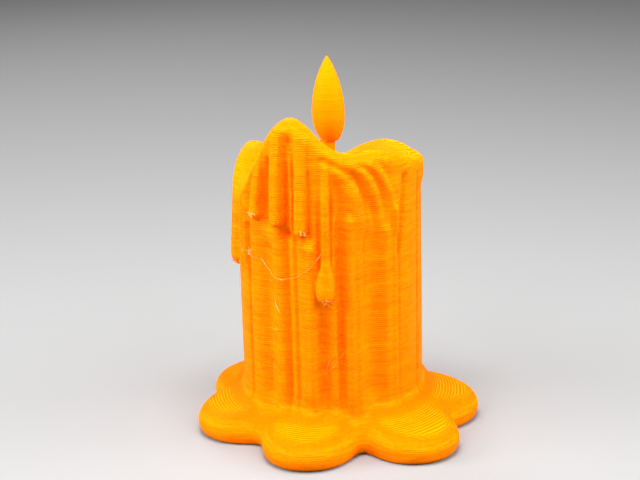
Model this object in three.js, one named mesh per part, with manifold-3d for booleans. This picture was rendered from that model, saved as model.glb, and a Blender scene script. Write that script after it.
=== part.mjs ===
// A melted candle, printed as one piece: a dripping fluted body, the puddle at its foot,
// a well with a wavy rim, and a wick that carries a flame.
// Millimetres, +Z up. The flat bottom lies on z = 0, centred on the candle's axis.
// A turn is an angle round the axis in degrees: 0 at the front (-Y), growing towards +X.
import * as THREE from "three";
import Module from "manifold-3d";

// Driving dimensions.
const WALL_RADIUS = 27;
const WELL_FLOOR = 73.6;
const FLOOR_RADIUS = 13.5;
const WELL_FULLNESS = 1.6;
const WICK_RADIUS = 2.2;
const FLAME_BASE = 87.2;
const FLAME_WIDEST = 94.8;
const FLAME_TIP = 112;
const FLAME_RADIUS = 4.75;
const FLAME_LOWER_SPAN = 8.9;
const FLAME_SHIFT_LOW = 0.8;
const FLAME_SHIFT = 0.3;
const FLAME_SETTLE = 4;
const FLAME_TAPER = 0.9;
const WICK_SUNK = 2;

// The puddle: a core and round spills, blended where they meet, with a rounded edge that is
// undercut below its widest place, and a fillet up to the wall.
const PUDDLE_CORE = 27;
const PUDDLE_BLEND = 3;
const PUDDLE_REACH = 65;
const EDGE_UNDERCUT = 2.2;
const EDGE_BULGE_HEIGHT = 3.4;
const SHOULDER = 4.5;
const SHOULDER_ROUNDNESS = 2.2;
const SADDLE_TOP = 5.2;
const LOBE_RISE = 2.2;
const LOBE_STARTS = 2;
const LOBE_FULL = 12;
const SWELL_RISE = 3;
const SWELL_SPREAD = 11;
const FILLET_RISE = 4.5;
const FILLET_REACH = 5;
const RELIEF_FADE = 2;

// Each spill of the puddle: its turn, and how far it reaches from the axis. All are as round.
const SPILL_RADIUS = 13;
const SPILLS = [
  { turn: -16, reach: 42 },
  { turn: 43, reach: 47 },
  { turn: 88, reach: 44 },
  { turn: 137, reach: 38 },
  { turn: 186, reach: 38 },
  { turn: 236, reach: 42 },
  { turn: 285, reach: 42 },
];

// The crest of the rim, as heights round the candle from the back and round again.
const CREST = [
  { turn: -180, height: 75 },
  { turn: -160, height: 77.5 },
  { turn: -130, height: 82 },
  { turn: -110, height: 85 },
  { turn: -102, height: 84 },
  { turn: -84, height: 77.5 },
  { turn: -68, height: 78.5 },
  { turn: -53, height: 86.5 },
  { turn: -38, height: 96 },
  { turn: -27, height: 99 },
  { turn: -16, height: 97 },
  { turn: -5, height: 92.5 },
  { turn: 6, height: 89.5 },
  { turn: 18, height: 89 },
  { turn: 30, height: 89 },
  { turn: 42, height: 88 },
  { turn: 57, height: 85.5 },
  { turn: 72, height: 83 },
  { turn: 95, height: 82 },
  { turn: 140, height: 82 },
  { turn: 158, height: 79 },
  { turn: 168, height: 76.5 },
  { turn: 180, height: 75 },
];
const RIM_ROUNDING = 2.8;
const RIM_STEEPNESS = 1.5;
const SADDLE_ROUNDING = { turn: -80, spread: 14, extra: 1.5 };
const LIP_ROUNDING = { turn: 88, spread: 26, extra: -1.7 };

// The wall's relief fades in above its foot and is nearly lost just under the crest.
const FOOT_FADE = { from: 12, to: 17, share: 0.2 };
const CREST_FADE = { from: 5, to: 0.5, lost: 0.85 };

// Drips that ran down from the rim: turn, half width in degrees, lower end, how far they stand out.
const DRIPS = [
  { turn: -89, halfWidth: 9.5, end: 50, proud: 2.6 },
  { turn: -50, halfWidth: 4.5, end: 70, proud: 1.9 },
  { turn: -32.5, halfWidth: 5, end: 68, proud: 2.6 },
  { turn: -17, halfWidth: 5, end: 66, proud: 2.3 },
  { turn: -4, halfWidth: 4.5, end: 46, proud: 2 },
  { turn: 118.5, halfWidth: 5, end: 60, proud: 1.4 },
  { turn: 151, halfWidth: 5, end: 50, proud: 1.3 },
  { turn: -165, halfWidth: 5, end: 57, proud: 1.3 },
  { turn: -140, halfWidth: 6, end: 62, proud: 1.4 },
];

// Broad flutes of the wall: turn, half width in degrees, height (a groove where negative).
const FLUTES = [
  { turn: -64, halfWidth: 6.5, height: 0.4 },
  { turn: -54, halfWidth: 5, height: 0.4 },
  { turn: -43, halfWidth: 5.5, height: -1.5 },
  { turn: -27.5, halfWidth: 3.2, height: -1.3 },
  { turn: -14, halfWidth: 5, height: 1 },
  { turn: -6, halfWidth: 4, height: -1.4 },
  { turn: 5.5, halfWidth: 3.2, height: -1.6 },
  { turn: 11.5, halfWidth: 3.5, height: 0.9 },
  { turn: 25.5, halfWidth: 7.2, height: -1.5 },
  { turn: 37, halfWidth: 5, height: 0.7 },
  { turn: 56, halfWidth: 10, height: 0.4 },
  { turn: 78, halfWidth: 7, height: 0.3 },
];

// The plainer back repeats one ridge and one groove.
const BACK_FLUTES = { first: 98, last: 252, step: 19.25, halfWidth: 5.5, height: 0.5, groove: -0.8 };

// How finely the faces follow the form.
const ROUND_STEPS = 3;
const EDGE_HALVINGS = 30;
const COLUMNS = 112;
const WALL_ROWS = 15;
const PUDDLE_SHARES = [1, 0.97, 0.89, 0.76, 0.6, 0.42, 0.25, 0.13, 0.05, 0];
const WELL_SHARES = [0.22, 0.42, 0.6, 0.75, 0.86, 0.94, 1];
const FLAME_SIDES = 24;
const FLAME_ROWS = 10;
const WICK_POINTS = 3;

const ORANGE = new THREE.MeshStandardMaterial({ color: 0xffa000, roughness: 0.45, metalness: 0 });

const FULL_TURN = 360;
const DEGREE = Math.PI / 180;
// Millimetres of wall for each degree of turn.
const WALL_DEGREE = WALL_RADIUS * DEGREE;

// The signed angle from one turn to another, between -180 and 180.
function turnApart(turn, other) {
  return THREE.MathUtils.euclideanModulo(turn - other + 180, FULL_TURN) - 180;
}

// A bell of height 1 round a turn.
function bell(turn, centre, spread) {
  return Math.exp(-((turnApart(turn, centre) / spread) ** 2));
}

// The height of the rim's crest at a turn, on a smooth curve through the crest's points.
function crestHeight(turn) {
  const t = turnApart(turn, 0);
  const after = Math.max(1, CREST.findIndex((point) => point.turn > t));
  const count = CREST.length - 1;
  const at = (i) => {
    const lap = Math.floor(i / count);
    const point = CREST[i - lap * count];
    return new THREE.Vector2(point.turn + lap * FULL_TURN, point.height);
  };
  const [p0, p1, p2, p3] = [after - 2, after - 1, after, after + 1].map(at);
  const span = p2.x - p1.x;
  const slope1 = ((p2.y - p0.y) / (p2.x - p0.x)) * span;
  const slope2 = ((p3.y - p1.y) / (p3.x - p1.x)) * span;
  const s = (t - p1.x) / span;
  const rise = p2.y - p1.y;
  return p1.y + s * (slope1 + s * (3 * rise - 2 * slope1 - slope2 + s * (slope1 + slope2 - 2 * rise)));
}

// How far the wall draws in where it rounds over into the crest.
function rimRounding(turn) {
  const saddle = SADDLE_ROUNDING.extra * bell(turn, SADDLE_ROUNDING.turn, SADDLE_ROUNDING.spread);
  const lip = LIP_ROUNDING.extra * bell(turn, LIP_ROUNDING.turn, LIP_ROUNDING.spread);
  return RIM_ROUNDING + saddle + lip;
}

// How far a place lies inside the puddle's edge; negative outside it.
function depthInside(turn, radius) {
  let sum = Math.exp((PUDDLE_CORE - radius) / PUDDLE_BLEND);
  for (const spill of SPILLS) {
    const angle = turnApart(turn, spill.turn) * DEGREE;
    const ahead = radius * Math.cos(angle) - (spill.reach - SPILL_RADIUS);
    const aside = radius * Math.sin(angle);
    sum += Math.exp((SPILL_RADIUS - Math.hypot(ahead, aside)) / PUDDLE_BLEND);
  }
  return PUDDLE_BLEND * Math.log(sum);
}

// The distance of the puddle's edge from the axis at a turn, found by halving.
function puddleEdge(turn) {
  let inner = PUDDLE_CORE;
  let outer = PUDDLE_REACH;
  for (let halving = 0; halving < EDGE_HALVINGS; halving += 1) {
    const middle = (inner + outer) / 2;
    if (depthInside(turn, middle) > 0) {
      inner = middle;
    } else {
      outer = middle;
    }
  }
  return inner;
}

// The height of the puddle's top: a mound that falls away over the shoulder at its edge.
function puddleTop(turn, radius, edge) {
  const out = radius - WALL_RADIUS;
  const near = THREE.MathUtils.clamp(1 - out / FILLET_REACH, 0, 1);
  const lobe = LOBE_RISE * THREE.MathUtils.smoothstep(edge - WALL_RADIUS, LOBE_STARTS, LOBE_FULL);
  const swell = SWELL_RISE * Math.exp(-((out / SWELL_SPREAD) ** 2));
  const fillet = FILLET_RISE * (1 - Math.sqrt(1 - near ** 2));
  const mound = SADDLE_TOP + lobe + swell + fillet;
  const inside = THREE.MathUtils.clamp(depthInside(turn, radius) / SHOULDER, 0, 1);
  const rounded = Math.sqrt(1 - (1 - inside) ** SHOULDER_ROUNDNESS);
  return EDGE_BULGE_HEIGHT + (mound - EDGE_BULGE_HEIGHT) * rounded;
}

// How far a drip stands out from the wall: a half round with a round lower end.
function dripDepth(drip, turn, z) {
  const across = turnApart(turn, drip.turn) / drip.halfWidth;
  const endRadius = drip.halfWidth * WALL_DEGREE;
  const below = Math.max(0, drip.end + endRadius - z) / endRadius;
  return drip.proud * Math.sqrt(Math.max(0, 1 - across ** 2 - below ** 2));
}

// The ridges and grooves of the wall at a turn, without the drips.
function fluteDepth(turn) {
  let depth = 0;
  for (const flute of FLUTES) {
    depth += flute.height * bell(turn, flute.turn, flute.halfWidth);
  }
  const { first, last, step, halfWidth, height, groove } = BACK_FLUTES;
  for (let ridge = first; ridge <= last; ridge += step) {
    depth += height * bell(turn, ridge, halfWidth);
    depth += groove * bell(turn, ridge + step / 2, halfWidth / 2);
  }
  return depth;
}

// The radius of the outer wall.
function wallRadius(turn, z) {
  const crest = crestHeight(turn);
  const footShare = THREE.MathUtils.smoothstep(z, FOOT_FADE.from, FOOT_FADE.to);
  const faded = THREE.MathUtils.lerp(FOOT_FADE.share, 1, footShare);
  const crestShare = THREE.MathUtils.smoothstep(z, crest - CREST_FADE.from, crest - CREST_FADE.to);
  const toRim = 1 - CREST_FADE.lost * crestShare;
  let depth = fluteDepth(turn) * faded;
  for (const drip of DRIPS) {
    depth += dripDepth(drip, turn, z);
  }
  return WALL_RADIUS + depth * toRim;
}

// The section of the candle at a turn, as points of radius and height, from the bottom's edge
// over the puddle, up the wall and down into the well.
function section(turn) {
  const points = [];
  const edge = puddleEdge(turn);
  for (let step = 0; step < ROUND_STEPS; step += 1) {
    const angle = ((step / ROUND_STEPS) * Math.PI) / 2;
    const inset = EDGE_UNDERCUT * (1 - Math.sin(angle));
    points.push([edge - inset, EDGE_BULGE_HEIGHT * (1 - Math.cos(angle))]);
  }

  const foot = puddleTop(turn, WALL_RADIUS, edge);
  const relief = wallRadius(turn, foot) - WALL_RADIUS;
  for (const share of PUDDLE_SHARES) {
    const out = (edge - WALL_RADIUS) * share;
    const radius = WALL_RADIUS + out + relief * Math.exp(-out / RELIEF_FADE) * (1 - share);
    points.push([radius, puddleTop(turn, WALL_RADIUS + out, edge)]);
  }

  const crest = crestHeight(turn);
  const rounding = rimRounding(turn);
  const rimHeight = RIM_STEEPNESS * rounding;
  for (let row = 1; row <= WALL_ROWS; row += 1) {
    const z = THREE.MathUtils.lerp(foot, crest - rimHeight, row / WALL_ROWS);
    points.push([wallRadius(turn, z), z]);
  }

  for (let step = 1; step <= ROUND_STEPS; step += 1) {
    const angle = ((step / ROUND_STEPS) * Math.PI) / 2;
    const z = crest - rimHeight * (1 - Math.sin(angle));
    points.push([wallRadius(turn, z) - rounding * (1 - Math.cos(angle)), z]);
  }

  const crestRadius = wallRadius(turn, crest) - rounding;
  for (const share of WELL_SHARES) {
    const drop = 0.5 + 0.5 * Math.cos(Math.PI * share ** WELL_FULLNESS);
    const z = WELL_FLOOR + (crest - WELL_FLOOR) * drop;
    points.push([THREE.MathUtils.lerp(crestRadius, FLOOR_RADIUS, share), z]);
  }
  return points;
}

// The closed skin of the body: the sections all round, closed by one point at each end.
function bodySkin() {
  const positions = [0, 0, 0];
  const triangles = [];
  let rows = 0;
  for (let column = 0; column < COLUMNS; column += 1) {
    const turn = (column * FULL_TURN) / COLUMNS;
    const points = section(turn);
    rows = points.length;
    for (const [radius, z] of points) {
      positions.push(radius * Math.sin(turn * DEGREE), -radius * Math.cos(turn * DEGREE), z);
    }
  }
  positions.push(0, 0, WELL_FLOOR);
  const top = 1 + COLUMNS * rows;
  for (let column = 0; column < COLUMNS; column += 1) {
    const here = 1 + column * rows;
    const next = 1 + ((column + 1) % COLUMNS) * rows;
    triangles.push(0, next, here);
    for (let row = 0; row < rows - 1; row += 1) {
      triangles.push(here + row, next + row, next + row + 1);
      triangles.push(here + row, next + row + 1, here + row + 1);
    }
    triangles.push(here + rows - 1, next + rows - 1, top);
  }
  const skin = new THREE.BufferGeometry();
  skin.setAttribute("position", new THREE.Float32BufferAttribute(positions, 3));
  skin.setIndex(triangles);
  return skin;
}

// The flame's radius: a half oval below its widest place, a soft cone above it.
function flameRadius(z) {
  if (z < FLAME_WIDEST) {
    return FLAME_RADIUS * Math.sqrt(1 - ((FLAME_WIDEST - z) / FLAME_LOWER_SPAN) ** 2);
  }
  const share = (z - FLAME_WIDEST) / (FLAME_TIP - FLAME_WIDEST);
  return FLAME_RADIUS * (1 - share ** 2) ** FLAME_TAPER;
}

// The wick, sunk into the well's floor, and the flame on it, turned round the axis. The
// outline's first points are the wick's; the flame's own points lean a little to one side.
function wickAndFlame() {
  const sunk = WELL_FLOOR - WICK_SUNK;
  const outline = [
    new THREE.Vector2(0, sunk),
    new THREE.Vector2(WICK_RADIUS, sunk),
    new THREE.Vector2(WICK_RADIUS, FLAME_BASE),
  ];
  for (let row = 0; row < FLAME_ROWS; row += 1) {
    const z = THREE.MathUtils.lerp(FLAME_BASE, FLAME_TIP, row / FLAME_ROWS);
    outline.push(new THREE.Vector2(flameRadius(z), z));
  }
  outline.push(new THREE.Vector2(0, FLAME_TIP));
  const turned = new THREE.LatheGeometry(outline, FLAME_SIDES);
  turned.rotateX(Math.PI / 2);
  const places = turned.getAttribute("position");
  for (let i = 0; i < places.count; i += 1) {
    if (i % outline.length >= WICK_POINTS) {
      const lean = (FLAME_SHIFT_LOW - FLAME_SHIFT) * Math.exp((FLAME_BASE - places.getZ(i)) / FLAME_SETTLE);
      places.setX(i, places.getX(i) + FLAME_SHIFT + lean);
    }
  }
  return turned;
}

const manifold = await Module();
manifold.setup();

// A three.js geometry as a solid.
function solidOf(geometry) {
  const triVerts = new Uint32Array(geometry.getIndex().array);
  const vertProperties = new Float32Array(geometry.getAttribute("position").array);
  const mesh = new manifold.Mesh({ numProp: 3, triVerts, vertProperties });
  mesh.merge();
  return new manifold.Manifold(mesh);
}

// A solid as a three.js geometry.
function geometryOf(solid) {
  const mesh = solid.getMesh();
  const geometry = new THREE.BufferGeometry();
  geometry.setAttribute("position", new THREE.BufferAttribute(mesh.vertProperties, mesh.numProp));
  geometry.setIndex(new THREE.BufferAttribute(mesh.triVerts, 1));
  geometry.computeVertexNormals();
  return geometry;
}

const whole = solidOf(bodySkin()).add(solidOf(wickAndFlame()));
const candle = new THREE.Mesh(geometryOf(whole), ORANGE);
candle.name = "candle";

const part = new THREE.Group();
part.add(candle);

export default part;
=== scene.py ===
"""A melted candle, printed as one piece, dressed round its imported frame.

The CAD holds the candle's real size. This file replaces the plain CAD solid with a finely
formed body (puddle, fluted and dripping wall, wavy rim, well), a wick with its flame, and
the hair-thin strings that the print left on it. Sizes in the classes are millimetres, and
turns are degrees round the axis: 0 at the front (-Y), growing towards +X.
"""

import logging
import math
import random
from dataclasses import dataclass, field, replace
from enum import Enum

import bpy
import numpy as np
from mathutils import Matrix, Vector


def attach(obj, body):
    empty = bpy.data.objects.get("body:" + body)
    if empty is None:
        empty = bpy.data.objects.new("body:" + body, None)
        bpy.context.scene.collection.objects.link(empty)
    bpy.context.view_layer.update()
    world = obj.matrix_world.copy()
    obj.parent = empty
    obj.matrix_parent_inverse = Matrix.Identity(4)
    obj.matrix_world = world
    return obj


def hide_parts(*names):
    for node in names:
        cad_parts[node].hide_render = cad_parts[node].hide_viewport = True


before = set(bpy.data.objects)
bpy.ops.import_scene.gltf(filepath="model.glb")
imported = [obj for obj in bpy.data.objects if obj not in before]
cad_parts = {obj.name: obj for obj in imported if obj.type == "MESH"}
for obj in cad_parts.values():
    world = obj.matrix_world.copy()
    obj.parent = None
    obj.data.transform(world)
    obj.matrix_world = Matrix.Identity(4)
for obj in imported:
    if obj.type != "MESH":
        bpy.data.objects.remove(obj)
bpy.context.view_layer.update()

MM = 0.001
FULL_TURN = 360.0
HALF_TURN = 180.0
# A camera turned up by this much from straight down looks level.
LEVEL_VIEW = 90.0
# The straight pieces in one bent stroke.
BEND_STEPS = 8
# The higher this is, the squarer a full section.
FULL_POWER = 4
NOISE_MIDDLE = 0.5
# The Mix node's sockets for colours, which share their names with its other sockets.
MIX_LOW, MIX_HIGH, MIX_RESULT = 6, 7, 2
NODE = "candle"
BODY = "root"

Colour = tuple[float, float, float, float]
Span = tuple[float, float, float, float]

log = logging.getLogger("candle")


# ---------------------------------------------------------------------------
# Plain geometry helpers
# ---------------------------------------------------------------------------


def turn_apart(turn: np.ndarray, other: float) -> np.ndarray:
    """Gives the signed angle between turns.

    Args:
        turn: Turns in degrees.
        other: The turn that they are measured from.

    Returns:
        The differences, between -180 and 180.
    """
    return (turn - other + HALF_TURN) % FULL_TURN - HALF_TURN


def ease(value: np.ndarray, start: float, end: float) -> np.ndarray:
    """Rises smoothly from 0 at start to 1 at end.

    Args:
        value: The places to evaluate.
        start: Where the rise begins.
        end: Where it is complete.

    Returns:
        The share risen at each place.
    """
    share = np.clip((value - start) / (end - start), 0.0, 1.0)
    return share * share * (3.0 - 2.0 * share)


@dataclass(frozen=True)
class Swelling:
    """A rise in millimetres that is fullest at one turn and fades to both sides."""

    turn: float
    spread: float
    rise: float

    def at(self, turn: np.ndarray) -> np.ndarray:
        """Gives the rise at each turn."""
        return self.rise * np.exp(-((turn_apart(turn, self.turn) / self.spread) ** 2))


def on_candle(turn: float, height: float, radius: float) -> Vector:
    """Places a point of the candle.

    Args:
        turn: Its turn in degrees.
        height: Its height in millimetres.
        radius: Its distance from the axis in millimetres.

    Returns:
        The point in metres.
    """
    angle = math.radians(turn)
    place = Vector((radius * math.sin(angle), -radius * math.cos(angle), height))
    return place * MM


def ring_mesh(name: str, rings: np.ndarray) -> bpy.types.Mesh:
    """Closes a stack of rings into one skin, with a point at each end.

    Args:
        name: The mesh's name.
        rings: Points in metres, as rings x columns x 3. The first and last ring are single
            points, so only their first column is used.

    Returns:
        A closed mesh whose faces point outwards.
    """
    inner = rings[1:-1]
    count, columns = inner.shape[:2]
    points = np.concatenate([rings[0, :1], inner.reshape(-1, 3), rings[-1, :1]])
    here = np.arange(columns)
    after = (here + 1) % columns
    lower = 1 + np.arange(count - 1)[:, None] * columns
    quads = np.stack(
        [lower + here, lower + after, lower + columns + after, lower + columns + here], axis=-1
    )
    last = len(points) - 1
    top = 1 + (count - 1) * columns
    faces = [(0, 1 + int(b), 1 + int(a)) for a, b in zip(here, after)]
    faces += [tuple(quad) for quad in quads.reshape(-1, 4).tolist()]
    faces += [(top + int(a), top + int(b), last) for a, b in zip(here, after)]
    mesh = bpy.data.meshes.new(name)
    mesh.from_pydata(points.tolist(), [], faces)
    mesh.polygons.foreach_set("use_smooth", [True] * len(faces))
    mesh.validate()
    mesh.update()
    return mesh


def place(name: str, mesh: bpy.types.Mesh) -> bpy.types.Object:
    """Puts a mesh in the scene as a piece of the candle.

    Args:
        name: The piece's name.
        mesh: Its mesh, already in the candle's frame.

    Returns:
        The new object, which rides on the candle's body and stands for its CAD node.
    """
    piece = bpy.data.objects.new(name, mesh)
    bpy.context.scene.collection.objects.link(piece)
    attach(piece, BODY)
    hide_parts(NODE)
    return piece


# ---------------------------------------------------------------------------
# Finishes
# ---------------------------------------------------------------------------


@dataclass(frozen=True)
class Pattern:
    """A noise that is fixed to the object.

    scale is the cells for each metre along X, Y and Z, detail how many finer layers the noise
    has and roughness how strong they are.
    """

    scale: tuple[float, float, float]
    detail: float
    roughness: float = 0.5


class NodeSheet:
    """A short hand for wiring one material's nodes."""

    def __init__(self, name: str) -> None:
        """Starts an empty material.

        Args:
            name: The material's name.
        """
        self.material = bpy.data.materials.new(name)
        self.material.use_nodes = True
        self.tree = self.material.node_tree
        self.tree.nodes.clear()
        self.output = self.tree.nodes.new("ShaderNodeOutputMaterial")
        self.shader = self.tree.nodes.new("ShaderNodeBsdfPrincipled")
        self.tree.links.new(self.shader.outputs["BSDF"], self.output.inputs["Surface"])
        self.coordinates = self.tree.nodes.new("ShaderNodeTexCoord")

    def node(self, kind: str, **settings: object) -> bpy.types.Node:
        """Adds a node and sets its own properties.

        Args:
            kind: The node's type, without the ShaderNode prefix.
            **settings: Properties of the node.

        Returns:
            The node.
        """
        made = self.tree.nodes.new("ShaderNode" + kind)
        for key, value in settings.items():
            setattr(made, key, value)
        return made

    def join(self, source: bpy.types.NodeSocket | float, target: bpy.types.NodeSocket) -> None:
        """Feeds a socket from another socket, or with a constant."""
        if isinstance(source, bpy.types.NodeSocket):
            self.tree.links.new(source, target)
        else:
            target.default_value = source

    def math(
        self,
        operation: str,
        first: bpy.types.NodeSocket | float,
        second: bpy.types.NodeSocket | float = 0.0,
        third: bpy.types.NodeSocket | float = 0.0,
    ) -> bpy.types.NodeSocket:
        """Adds one sum.

        Args:
            operation: The Math node's operation.
            first: The first value.
            second: The second value, where the operation has one.
            third: The third value, where the operation has one.

        Returns:
            The result's socket.
        """
        made = self.node("Math", operation=operation)
        for value, socket in zip((first, second, third), made.inputs):
            self.join(value, socket)
        return made.outputs["Value"]

    def span(
        self, value: bpy.types.NodeSocket, low: float, high: float, to_low: float, to_high: float
    ) -> bpy.types.NodeSocket:
        """Maps a value from one range to another, smoothly and without running over.

        Args:
            value: The value.
            low: The lower end of its range.
            high: The upper end of its range.
            to_low: What the lower end becomes.
            to_high: What the upper end becomes.

        Returns:
            The mapped value.
        """
        made = self.node("MapRange", interpolation_type="SMOOTHSTEP")
        self.join(value, made.inputs["Value"])
        ends = {"From Min": low, "From Max": high, "To Min": to_low, "To Max": to_high}
        for socket, number in ends.items():
            made.inputs[socket].default_value = number
        return made.outputs["Result"]

    def noise(self, pattern: Pattern) -> bpy.types.NodeSocket:
        """Adds a noise over the object.

        Args:
            pattern: The noise.

        Returns:
            The noise's value socket.
        """
        mapping = self.node("Mapping")
        mapping.inputs["Scale"].default_value = pattern.scale
        self.join(self.coordinates.outputs["Object"], mapping.inputs["Vector"])
        made = self.node("TexNoise")
        made.inputs["Scale"].default_value = 1.0
        made.inputs["Detail"].default_value = pattern.detail
        made.inputs["Roughness"].default_value = pattern.roughness
        self.join(mapping.outputs["Vector"], made.inputs["Vector"])
        return made.outputs["Fac"]

    def vary(
        self, tone: bpy.types.NodeSocket, noise: bpy.types.NodeSocket, strength: float
    ) -> bpy.types.NodeSocket:
        """Moves a tone up and down alike with a noise.

        Args:
            tone: The tone so far.
            noise: The noise, which lies evenly round its middle.
            strength: How far the noise moves the tone.

        Returns:
            The varied tone.
        """
        return self.math("MULTIPLY_ADD", self.math("SUBTRACT", noise, NOISE_MIDDLE), strength, tone)

    def paint(self, share: bpy.types.NodeSocket, low: Colour, high: Colour) -> None:
        """Colours the shader between two colours.

        Args:
            share: The share of the way from the low colour to the high one.
            low: The colour at a share of 0.
            high: The colour at a share of 1.
        """
        mix = self.node("Mix", data_type="RGBA")
        self.join(share, mix.inputs["Factor"])
        mix.inputs[MIX_LOW].default_value = low
        mix.inputs[MIX_HIGH].default_value = high
        self.join(mix.outputs[MIX_RESULT], self.shader.inputs["Base Color"])


@dataclass(frozen=True)
class Traits:
    """What the filament's sums know of each place, every one from 0 to 1.

    steep tells walls and flat tells level tops. steps and beads are the layers' forms there,
    streaks and patches two noises, and calm fades the pattern out on the wick and the flame,
    which thin tells.
    """

    steep: bpy.types.NodeSocket
    flat: bpy.types.NodeSocket
    steps: bpy.types.NodeSocket
    beads: bpy.types.NodeSocket
    streaks: bpy.types.NodeSocket
    patches: bpy.types.NodeSocket
    thin: bpy.types.NodeSocket
    calm: bpy.types.NodeSocket


@dataclass(frozen=True)
class FilamentFinish:
    """Satin orange filament, laid in level layers, with painted shade in the gaps between layers and on
    level tops, and a painted glow on the wick and flame.

    A depth is the millimetres of relief. A tone is a share of the way from the deep colour to
    the bright one. A span is what a value is mapped from, low and high, and what it is mapped to.
    """

    name: str = "orange_filament"
    deep: Colour = (1.0, 0.13, 0.0, 1.0)
    bright: Colour = (1.0, 0.29, 0.0, 1.0)
    roughness: float = 0.5
    specular: float = 0.01
    step: float = 0.2
    step_front: float = 0.22
    step_depth: float = 0.3
    step_heights: tuple[float, float] = (20.0, 70.0)
    top_strength: float = 0.5
    bead: float = 0.64
    bead_wander: float = 1.5
    bead_fullness: float = 0.6
    bead_depth: float = 0.14
    bead_middle: float = 0.75
    bead_gap_shade: float = 0.28
    streak_depth: float = 0.12
    streak_tone: float = 1.1
    band_tone: float = 0.5
    grain_tone: float = 0.5
    level_share: float = 0.25
    line_gain: float = 2.2
    line_middle: float = 0.8
    step_gap_shade: float = 0.9
    line_patches: float = 0.4
    middle_tone: float = 0.5
    painted_top_shade: float = 0.05
    painted_glow: float = 0.2
    flame_calm: float = 0.7
    slim_radii: tuple[float, float] = (5.5, 7.0)
    slim_heights: tuple[float, float] = (76.0, 80.0)
    steep_span: Span = (0.35, 0.8, 1.0, 0.0)
    patch_span: Span = (0.35, 0.65, 0.15, 1.0)
    patches: Pattern = Pattern((260.0, 260.0, 90.0), 2.0)
    streaks: Pattern = Pattern((150.0, 150.0, 1500.0), 2.0, 0.6)
    bands: Pattern = Pattern((25.0, 25.0, 500.0), 1.0)
    grain: Pattern = Pattern((900.0, 900.0, 1500.0), 1.0)
    wander: Pattern = Pattern((30.0, 30.0, 120.0), 1.0)

    def material(self) -> bpy.types.Material:
        """Wires the material.

        Returns:
            The finished material.
        """
        sheet = NodeSheet(self.name)
        split = sheet.node("SeparateXYZ")
        sheet.join(sheet.coordinates.outputs["Object"], split.inputs["Vector"])
        height = split.outputs["Z"]
        traits = self._traits(sheet, split, height)
        self._bump(sheet, self._relief(sheet, traits, height))
        sheet.paint(self._tone(sheet, traits), self.deep, self.bright)
        sheet.shader.inputs["Roughness"].default_value = self.roughness
        sheet.shader.inputs["Specular IOR Level"].default_value = self.specular
        return sheet.material

    def _traits(
        self, sheet: NodeSheet, place: bpy.types.Node, height: bpy.types.NodeSocket
    ) -> Traits:
        """Works out what the later sums share.

        Args:
            sheet: The material's nodes.
            place: The node that splits a place into its three axes.
            height: The height above the bottom, in metres.

        Returns:
            The traits of each place.
        """
        steep = self._steepness(sheet)
        thin = self._thinness(sheet, place)
        return Traits(
            steep=steep,
            flat=sheet.math("SUBTRACT", 1.0, steep),
            steps=self._steps(sheet, height),
            beads=self._beads(sheet, height),
            streaks=sheet.noise(self.streaks),
            patches=sheet.span(sheet.noise(self.patches), *self.patch_span),
            thin=thin,
            calm=sheet.math("MULTIPLY_ADD", thin, -self.flame_calm, 1.0),
        )

    def _relief(
        self, sheet: NodeSheet, traits: Traits, height: bpy.types.NodeSocket
    ) -> bpy.types.NodeSocket:
        """Adds up the fine relief: steps on level tops, beads on walls and streaks on both.

        Args:
            sheet: The material's nodes.
            traits: The traits of each place.
            height: The height above the bottom, in metres.

        Returns:
            The relief in millimetres.
        """
        low, high = (limit * MM for limit in self.step_heights)
        step_share = sheet.span(height, low, high, self.step_depth, self.top_strength * self.step_depth)
        stepped = sheet.math("MULTIPLY", traits.flat, step_share)
        relief = sheet.math("MULTIPLY", traits.steps, stepped)
        patchy = sheet.math("MULTIPLY", traits.steep, traits.patches)
        beaded = sheet.math("MULTIPLY", sheet.math("MULTIPLY", patchy, traits.calm), self.bead_depth)
        relief = sheet.math("MULTIPLY_ADD", traits.beads, beaded, relief)
        return sheet.math("MULTIPLY_ADD", traits.streaks, self.streak_depth, relief)

    def _bump(self, sheet: NodeSheet, relief: bpy.types.NodeSocket) -> None:
        """Turns the shader's normals by a relief in millimetres."""
        bump = sheet.node("Bump")
        bump.inputs["Strength"].default_value = 1.0
        bump.inputs["Distance"].default_value = MM
        sheet.join(relief, bump.inputs["Height"])
        sheet.join(bump.outputs["Normal"], sheet.shader.inputs["Normal"])

    def _tone(self, sheet: NodeSheet, traits: Traits) -> bpy.types.NodeSocket:
        """Adds up the tone: painted shade in the gaps between layers and on level tops, brighter on the
        layers, and a painted glow on the wick and flame.

        Args:
            sheet: The material's nodes.
            traits: The traits of each place.

        Returns:
            The tone, from 0 for the deep colour to 1 for the bright one.
        """
        # Painted shade: the valleys between the wall's layer beads are coloured darker.
        bead_gap_shade = sheet.math("MULTIPLY", traits.patches, self.bead_gap_shade)
        beads = sheet.math("SUBTRACT", traits.beads, self.bead_middle)
        tone = sheet.math("MULTIPLY", beads, bead_gap_shade)
        tone = sheet.vary(tone, traits.streaks, self.streak_tone)
        tone = sheet.vary(tone, sheet.noise(self.bands), self.band_tone)
        wall_share = sheet.math("MULTIPLY_ADD", traits.steep, 1.0 - self.level_share, self.level_share)
        tone = sheet.math("MULTIPLY", tone, wall_share)
        tone = sheet.vary(tone, sheet.noise(self.grain), self.grain_tone)
        # Painted shade: on level tops each layer's step gets a thin darker line, and the treads between
        # come out a little lighter.
        gained = sheet.math("MINIMUM", sheet.math("MULTIPLY", traits.steps, self.line_gain), 1.0)
        lines = sheet.math("SUBTRACT", gained, self.line_middle)
        step_gap_shade = sheet.math("MULTIPLY_ADD", traits.patches, self.line_patches, self.step_gap_shade)
        tone = sheet.math("MULTIPLY_ADD", lines, sheet.math("MULTIPLY", traits.flat, step_gap_shade), tone)
        tone = sheet.math("MULTIPLY", tone, traits.calm)
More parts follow.
